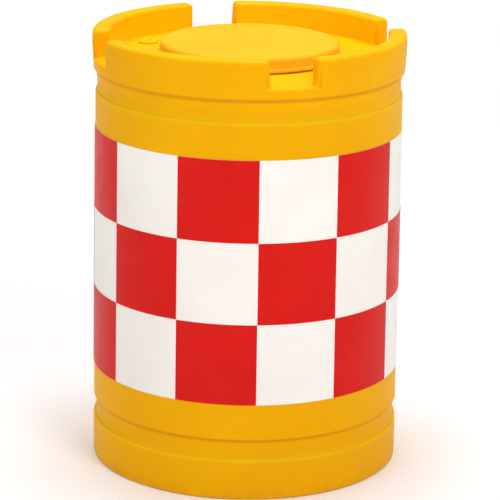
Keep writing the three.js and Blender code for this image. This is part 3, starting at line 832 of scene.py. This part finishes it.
def make_hatch_seal():
    """A soft washer with rounded edges and a shallow groove pressed into its top."""
    low, high = levels("hatch_seal")
    inner = HATCH_HOLE_RADIUS + 1.5 * MM
    outer = radius_of("hatch_seal")
    middle = (inner + outer) / 2
    edge = (high - low) * 0.4
    corners = [
        (inner, low, edge),
        (outer, low, edge),
        (outer, high, edge),
        (middle + 1 * MM, high, 0),
        (middle, high - 0.3 * MM, 0),
        (middle - 1 * MM, high, 0),
        (inner, high, edge),
    ]
    ring = revolve("hatch_washer", rounded_loop(corners))
    finish_piece(ring, "hatch", seal_rubber, "hatch_seal")


# ---- Sheeting ----
FILM_ROW = 20 * MM
JOINT_GAP = 0.15 * MM  # from a red square's edge to its neighbour's line
SEAM_GAP = 0.1  # degrees, between the white band's two ends


def film_panel(name, azimuth, width, low, high, offset, steps):
    """A curved panel of film between two azimuths and two heights, this far off the wall."""
    rows = max(2, round((high - low) / FILM_ROW))
    vertices, faces = [], []
    for lift in (offset + FILM, offset):
        for i in range(steps + 1):
            for k in range(rows + 1):
                z = low + (high - low) * k / rows
                vertices.append(at_azimuth(azimuth + width * i / steps, body_radius(z) + lift, z))
    layer = (steps + 1) * (rows + 1)

    def quad(*corners):
        faces.append(tuple(side * layer + i * (rows + 1) + k for side, i, k in corners))

    for i in range(steps):
        for k in range(rows):
            for side in (0, 1):
                quad((side, i, k), (side, i + 1, k), (side, i + 1, k + 1), (side, i, k + 1))
    for i in range(steps):
        for k in (0, rows):
            quad((0, i, k), (0, i + 1, k), (1, i + 1, k), (1, i, k))
    for k in range(rows):
        for i in (0, steps):
            quad((0, i, k), (0, i, k + 1), (1, i, k + 1), (1, i, k))
    panel = object_from(name, vertices, faces)
    sharp_by_angle(panel, 40)
    return panel


def make_white_band():
    start = SHEET_PHASE + 180 + SEAM_GAP / 2
    width = 360 - SEAM_GAP
    band = film_panel("white_band", start, width, SHEET_BOTTOM, SHEET_TOP, GAP, ROUND_SEGMENTS)
    finish_piece(band, "drum", sheet_white, "white_sheeting")


def make_red_squares():
    """Every other square of the checker, stuck on the white band."""
    column = 360 / SHEET_COLUMNS
    side = (SHEET_TOP - SHEET_BOTTOM) / SHEET_ROWS
    clear_angle = math.degrees(JOINT_GAP / BODY_TOP_RADIUS)
    for row in range(SHEET_ROWS):
        for col in range(SHEET_COLUMNS):
            if (row + col) % 2 == 0:
                continue
            panel = film_panel(
                f"red_square_{row + 1}_{col + 1}",
                SHEET_PHASE + col * column + clear_angle,
                column - 2 * clear_angle,
                SHEET_TOP - (row + 1) * side + JOINT_GAP,
                SHEET_TOP - row * side - JOINT_GAP,
                2 * GAP + FILM,
                ROUND_SEGMENTS // SHEET_COLUMNS,
            )
            finish_piece(panel, "drum", sheet_red, f"red_panel_{row + 1}_{col + 1}")


# ---- Spouts and caps ----
THREAD_PITCH = 4 * MM
THREAD_DEPTH = 1.3 * MM
THREAD_RUN_OUT = 1.5 * MM
SPOUT_RADIUS = 21 * MM
SPOUT_BORE_RADIUS = 17 * MM
SPOUT_FLANGE_THICKNESS = 3 * MM
CAP_WALL = 4 * MM
CAP_TOP_THICKNESS = 3 * MM
GRIP_RIBS = 36
GRIP_DEPTH = 0.9 * MM


def fade(z, low, high, run_in, run_out):
    """1 between two heights, falling to 0 at each over its own run."""
    return min(1.0, max(0.0, (z - low) / run_in), max(0.0, (high - z) / run_out))


def thread_lift(azimuth, z, low, high):
    """How far a screw thread stands out at a place: one ridge that climbs a pitch in each turn."""
    phase = z / THREAD_PITCH - azimuth / 360
    ridge = max(0.0, math.cos(2 * math.pi * phase) + 0.2) / 1.2
    return ridge * fade(z, low, high, THREAD_RUN_OUT, THREAD_RUN_OUT)


def make_spout(side):
    node = side + "_bag_spout"
    low, high = levels(node)
    flange = radius_of(node)
    flange_top = low + SPOUT_FLANGE_THICKNESS
    corners = [
        (SPOUT_BORE_RADIUS, low, 0.4 * MM),
        (flange, low, 0.8 * MM),
        (flange, flange_top - 1 * MM, 1 * MM),
        (SPOUT_RADIUS, flange_top, 1.5 * MM),
        (SPOUT_RADIUS, high, 0.8 * MM),
        (SPOUT_BORE_RADIUS, high, 0.8 * MM),
    ]
    path = subdivided(rounded_loop(corners), 0.6 * MM)

    def threaded(azimuth, point):
        if abs(point.x - SPOUT_RADIUS) > 0.1 * MM:
            return 0.0
        return THREAD_DEPTH * thread_lift(azimuth, point.y, flange_top + 5 * MM, high - 1 * MM)

    piece = revolve(side + "_threaded_spout", path, 96, 0, shift=threaded)
    finish_piece(piece, "drum", fitting_white, node)


def make_cap(side):
    node = side + "_bag_cap"
    low, high = levels(node)
    outer = radius_of(node)
    inner = outer - CAP_WALL
    underside = high - CAP_TOP_THICKNESS
    corners = [
        (0, underside, 0),
        (inner, underside, 1 * MM),
        (inner, low, 0.6 * MM),
        (outer, low, 0.8 * MM),
        (outer, high, 2.2 * MM),
        (outer - 6 * MM, high, 0.6 * MM),
        (outer - 7 * MM, high - 0.8 * MM, 0.6 * MM),
        (7 * MM, high - 0.8 * MM, 1 * MM),
        (5 * MM, high - 0.2 * MM, 1 * MM),
        (0, high - 0.2 * MM, 0),
    ]
    path = subdivided(rounded(corners, 4), 1.6 * MM)

    def gripped(azimuth, point):
        if point.x < outer - 0.6 * MM:
            return 0.0
        wave = 0.5 + 0.5 * math.cos(math.radians(GRIP_RIBS * azimuth))
        return -GRIP_DEPTH * wave**2 * fade(point.y, low + 1 * MM, high, 2 * MM, 4 * MM)

    piece = revolve(side + "_ribbed_cap", path, 8 * GRIP_RIBS, 0, shift=gripped)
    finish_piece(piece, side + "_cap", cap_blue, node)


def make_cap_seal(side):
    node = side + "_bag_cap_seal"
    low, high = levels(node)
    outer = radius_of(node)
    corners = [
        (0, low, 0),
        (outer, low, 0.8 * MM),
        (outer, high, 0.8 * MM),
        (outer - 5 * MM, high, 0.4 * MM),
        (outer - 6 * MM, high - 0.4 * MM, 0.4 * MM),
        (0, high - 0.4 * MM, 0),
    ]
    piece = revolve(side + "_cap_washer", subdivided(rounded(corners, 3), 4 * MM), 72, 0)
    finish_piece(piece, side + "_seal", seal_rubber, node)


# ---- Lid locks ----
HEAD_RADIUS = 19 * MM
HEAD_HEIGHT = 4 * MM
SLOT_LENGTH = 28 * MM
SLOT_WIDTH = 4 * MM
SLOT_DEPTH = 2.5 * MM
SHAFT_RADIUS = 8 * MM
SHAFT_THREAD_DEPTH = 0.5 * MM
CAM_LENGTH = 44 * MM
CAM_WIDTH = 24 * MM
NUT_RADIUS = 13 * MM
NUT_SIDES = 6


def lock_frame(index):
    """Where one lock stands; its +X runs along the rim."""
    azimuth = LOCK_PHASE + 360 * index / LOCK_COUNT
    place = at_azimuth(azimuth, LOCK_PITCH_RADIUS, 0)
    return Matrix.Translation(place) @ Matrix.Rotation(math.radians(azimuth), 4, "Z")


def slab(name, outline, low, high, edge):
    """A flat plate with this outline, its upper and lower edges bevelled."""
    centre = sum(outline, Vector((0, 0))) / len(outline)
    layers = ((edge, low), (0, low + edge), (0, high - edge), (edge, high))
    vertices = []
    for inset, z in layers:
        for point in outline:
            vertices.append((*(point - (point - centre).normalized() * inset), z))
    return object_from(name, vertices, closed_tube(len(layers), len(outline)))


def arc(centre_x, start, radius, steps=16, sweep=180):
    """Points on an arc round a point on the X axis, a half circle unless sweep differs."""
    points = []
    for k in range(steps + 1):
        angle = math.radians(start + sweep * k / steps)
        points.append(Vector((centre_x + radius * math.cos(angle), radius * math.sin(angle))))
    return points


def bored_slab(name, outline, node, edge):
    """A plate as thick as a CAD node, with the hole for the lock's shaft."""
    low, high = levels(node)
    plate = slab(name, outline, low, high, edge)
    cut(plate, [drill(SHAFT_RADIUS + GAP, low - 1 * MM, high + 1 * MM, 48)])
    return plate


def lock_head():
    """A low round head with a coin slot, on a shaft that is threaded for its nut."""
    low = DECK_TOP + GAP
    top = low + HEAD_HEIGHT
    shaft_end = levels("lid_lock_head_1")[0]
    corners = [
        (0, shaft_end, 0),
        (SHAFT_RADIUS, shaft_end, 1.2 * MM),
        (SHAFT_RADIUS, low, 0.4 * MM),
        (HEAD_RADIUS, low, 0.6 * MM),
        (HEAD_RADIUS, top, 1.8 * MM),
        (0, top, 0),
    ]
    nut_high = levels("lid_lock_nut_1")[1]

    def threaded(azimuth, point):
        if abs(point.x - SHAFT_RADIUS) > 0.05 * MM:
            return 0.0
        # all heights doubled, for half the pitch
        lift = thread_lift(azimuth, 2 * point.y, 2 * shaft_end, 2 * nut_high)
        return -SHAFT_THREAD_DEPTH * lift

    head = revolve("head", subdivided(rounded(corners, 5), 0.7 * MM), 72, 0, shift=threaded)
    half = SLOT_WIDTH / 2
    end = SLOT_LENGTH / 2 - half
    outline = arc(end, -90, half, 8) + arc(-end, 90, half, 8)
    cut(head, [slab("slot", outline, top - SLOT_DEPTH, top + SLOT_DEPTH, 0.3 * MM)])
    return head


def lock_cam():
    """A flat cam with round ends, bored at one of them."""
    half = CAM_WIDTH / 2
    outline = arc(0, 90, half) + arc(CAM_LENGTH - half, -90, half)
    return bored_slab("cam", outline, "lid_lock_cam_1", 0.8 * MM)


def lock_nut():
    outline = arc(0, 0, NUT_RADIUS, NUT_SIDES, sweep=360)[:-1]
    return bored_slab("nut", outline, "lid_lock_nut_1", 0.9 * MM)


def make_locks():
    """One head, cam and nut are made at the origin and copied to the four places."""
    shapes = (
        ("coin_head", "head", lock_head(), lock_yellow, "lock_yellow"),
        ("cam_plate", "cam", lock_cam(), zinc_steel, "zinc_steel"),
        ("hex_nut", "nut", lock_nut(), zinc_steel, "zinc_steel"),
    )
    for name, kind, shape, material, slot in shapes:
        sharp_by_angle(shape, 32)
        for i in range(LOCK_COUNT):
            mesh = shape.data.copy()
            mesh.transform(lock_frame(i))
            piece = new_object(f"{name}_{i + 1}", mesh)
            finish_piece(piece, f"lock_{i + 1}", material, f"lid_lock_{kind}_{i + 1}")
        bpy.data.objects.remove(shape)


# ---- Water bags ----
BAG_RADIUS = 281 * MM
BAG_EDGE = 26 * MM
BAG_SAG = 6 * MM
BAG_TOP_SLACK = 4 * MM  # how far the film's flat top lies under the bag's highest point
POCKET_RADIUS = 62 * MM
POCKET_SLOPE = 18 * MM
BAG_WELD_RADIUS = 40 * MM  # where the film is welded to the spout's flange
SEAM_RADIUS = 258 * MM
SEAM_WIDTH = 7 * MM
SEAM_HEIGHT = 1.4 * MM
PUCKERS = 17
PUCKER_HEIGHT = 1.5 * MM
PUCKER_RADIUS = 70 * MM
PUCKER_REACH = 55 * MM
FOLD_HEIGHT = 1.6 * MM
HELD_DEPTH = 70 * MM  # the wall is held below this depth, and the base up to this height
WALL_INSET = 0.8 * MM
WALL_FOLD = 1.2 * MM
FILM_SLACK = 0.03  # how much more film there is than the shape needs
FILM_PRESSURE = 0.3
LARGEST_MOVE = 6 * MM
BAG_FRAMES = 20
BAG_SEGMENTS = 132


def bag_corners(side):
    """Half the bag's section, from the middle of its base to the pocket round the spout."""
    low, high = levels(side + "_water_bag")
    pocket_floor = levels(side + "_bag_spout")[0] - GAP
    flat_top = high - BAG_TOP_SLACK
    top = [
        (BAG_RADIUS, high - BAG_EDGE, 1.2 * BAG_EDGE),
        (BAG_RADIUS - 0.8 * BAG_EDGE, flat_top, 30 * MM),
        (POCKET_RADIUS + POCKET_SLOPE, flat_top, 14 * MM),
        (POCKET_RADIUS, pocket_floor, 8 * MM),
        (0, pocket_floor, 0),
    ]
    if side == "upper":
        return [(0, low, 0), (BAG_RADIUS, low, 1.6 * BAG_EDGE)] + top
    panel = BOTTOM_PANEL_HEIGHT + WALL + GAP
    return [
        (0, panel, 0),
        (BOTTOM_PANEL_RADIUS + BAG_SAG, panel, 6 * MM),
        (FOOT_INNER_RADIUS + 2 * BAG_SAG, low + GAP, 6 * MM),
        (BAG_RADIUS - 6 * MM, low + GAP, 26 * MM),
        (BAG_RADIUS, 2 * BAG_EDGE, 40 * MM),
    ] + top


def film_waves(place, offset):
    """The folds that start the film's crumpling: puckers round the spout and loose waves."""
    radius = math.hypot(place.x, place.y)
    azimuth = math.atan2(place.x, -place.y)
    near = math.exp(-(((radius - PUCKER_RADIUS) / PUCKER_REACH) ** 2))
    puckers = math.cos(PUCKERS * azimuth + 3 * noise.noise(place * 9)) * near * PUCKER_HEIGHT
    loose = noise.noise(place * 24 + Vector((0, 0, offset))) * FOLD_HEIGHT
    return puckers + loose


def crumple(bag, rest_high):
    """Lets the slack film find its folds under the water's pressure, then applies the result."""
    cloth = bag.modifiers.new("film", "CLOTH")
    film = {
        "quality": 6,
        "mass": 0.2,
        "tension_stiffness": 30,
        "compression_stiffness": 30,
        "shear_stiffness": 10,
        "bending_stiffness": 2,
        "shrink_min": -FILM_SLACK,
        "use_pressure": True,
        "uniform_pressure_force": FILM_PRESSURE,
        "vertex_group_mass": "held",
    }
    for key, value in film.items():
        setattr(cloth.settings, key, value)
    cloth.settings.effector_weights.gravity = 0
    cloth.point_cache.frame_start = 1
    cloth.point_cache.frame_end = BAG_FRAMES
    scene = bpy.context.scene
    for frame_number in range(1, BAG_FRAMES + 1):
        scene.frame_set(frame_number)
    evaluated = bag.evaluated_get(bpy.context.evaluated_depsgraph_get())
    moved = [vertex.co.copy() for vertex in evaluated.data.vertices]
    bag.modifiers.remove(cloth)
    scene.frame_set(1)
    for vertex, target in zip(bag.data.vertices, moved):
        step = target - vertex.co
        if step.length > LARGEST_MOVE:
            step = step.normalized() * LARGEST_MOVE
        place = vertex.co + step
        reach = math.hypot(place.x, place.y)
        if reach > BAG_RADIUS:
            place.x *= BAG_RADIUS / reach
            place.y *= BAG_RADIUS / reach
        place.z = min(place.z, rest_high)
        vertex.co = place


def weld_seam(bag, high):
    """Raises the flat heat-sealed seam that closes the bag's top."""
    for vertex in bag.data.vertices:
        place = vertex.co
        if place.z < high - 2 * BAG_EDGE:
            continue
        away = abs(math.hypot(place.x, place.y) - SEAM_RADIUS)
        if away < SEAM_WIDTH:
            place.z += SEAM_HEIGHT * min(1.0, 2 * (1 - away / SEAM_WIDTH))


def prepare_film(bag, low, high):
    """Holds the film at the wall, the base and the spout's weld, and starts its folds elsewhere."""
    held = bag.vertex_groups.new(name="held")
    for vertex in bag.data.vertices:
        place = vertex.co
        radius = math.hypot(place.x, place.y)
        on_wall = place.z < high - HELD_DEPTH and radius > POCKET_RADIUS + 1 * MM
        if on_wall or place.z < low + HELD_DEPTH:
            held.add([vertex.index], 1.0, "REPLACE")
            folds = noise.noise(Vector((place.x * 30, place.y * 30, place.z * 5)))
            inset = (WALL_INSET + folds * WALL_FOLD) / max(radius, 1 * MM)
            place.x -= place.x * inset
            place.y -= place.y * inset
        elif radius < BAG_WELD_RADIUS:
            held.add([vertex.index], 1.0, "REPLACE")
        else:
            place.z += film_waves(place, high)


def make_bag(side):
    node = side + "_water_bag"
    low, high = levels(node)
    path = subdivided(rounded(bag_corners(side), 5), 10 * MM)
    bag = revolve(side + "_film_bag", path, BAG_SEGMENTS, 0)
    prepare_film(bag, low, high)
    crumple(bag, high)
    weld_seam(bag, high)
    smooth = bag.modifiers.new("smooth", "SUBSURF")
    smooth.levels = 1
    apply_modifiers(bag)
    finish_piece(bag, "drum", bag_film, node)


def make_water_bags():
    for side in ("lower", "upper"):
        make_bag(side)
        make_spout(side)
        make_cap_seal(side)
        make_cap(side)


# ---- Stage ----
CAMERA_DISTANCE = 4.973
CAMERA_HEIGHT = 1.828
CAMERA_TURN = 0.075  # degrees
CAMERA_TILT = 15.98  # degrees
CAMERA_ROLL = 0.9  # degrees
CAMERA_LENS = 191.7
FLOOR_REACH = 40
FLOOR_GLOW = (0.03, 0.6)  # near the drum and far from it
FLOOR_GLOW_REACH = (0.8, 5.0)
WORLD_LIGHT = 0.32


def make_camera():
    data = bpy.data.cameras.new("studio_camera")
    data.lens = CAMERA_LENS
    data.sensor_width = 36
    camera = new_object("studio_camera", data)
    turn = Matrix.Rotation(math.radians(-CAMERA_TURN), 4, "Z")
    tilt = Matrix.Rotation(math.radians(90 - CAMERA_TILT), 4, "X")
    roll = Matrix.Rotation(math.radians(CAMERA_ROLL), 4, "Z")
    place = Matrix.Translation((0, -CAMERA_DISTANCE, CAMERA_HEIGHT))
    camera.matrix_world = place @ turn @ tilt @ roll
    bpy.context.scene.camera = camera


def area_light(name, place, target, size, power):
    """A soft round light that points at a target."""
    data = bpy.data.lights.new(name, "AREA")
    data.shape = "DISK"
    data.size = size
    data.energy = power
    light = new_object(name, data)
    light.location = place
    light.rotation_mode = "QUATERNION"
    light.rotation_quaternion = (Vector(target) - Vector(place)).to_track_quat("-Z", "Y")


def make_lights():
    world = bpy.data.worlds.new("studio_world")
    bpy.context.scene.world = world
    world.use_nodes = True
    background = world.node_tree.nodes["Background"]
    background.inputs["Color"].default_value = (1, 1, 1, 1)
    background.inputs["Strength"].default_value = WORLD_LIGHT
    area_light("key", (2.2, -3.6, 3.4), (0, 0, 0.5), size=2.2, power=80)
    area_light("fill", (-3.2, -3.0, 1.8), (0, 0, 0.45), size=2.4, power=26)
    area_light("top", (0, 0.4, 4.0), (0, 0, 0.8), size=2.6, power=116)
    bpy.context.scene.view_settings.view_transform = "Standard"


def make_floor():
    """A plain white floor that glows brighter the further it lies from the drum."""
    mesh = bpy.data.meshes.new("studio_floor")
    far = FLOOR_REACH
    corners = [(-far, -far, 0), (far, -far, 0), (far, far, 0), (-far, far, 0)]
    mesh.from_pydata(corners, [], [(0, 1, 2, 3)])
    floor = new_object("studio_floor", mesh)
    shader = Shader("studio_floor")
    shader.set("Base Color", linear(250, 250, 250))
    shader.set("Roughness", 0.9)
    shader.set("Specular IOR Level", 0.1)
    distance = shader.length(shader.coordinates)
    shader.set("Emission Color", (1, 1, 1, 1))
    shader.set("Emission Strength", shader.ramp(distance, *FLOOR_GLOW_REACH, *FLOOR_GLOW))
    floor.data.materials.append(shader.material)


make_camera()
make_floor()
make_lights()
make_body()
make_lid()
make_hatch()
make_hatch_seal()
make_white_band()
make_red_squares()
make_locks()
make_water_bags()
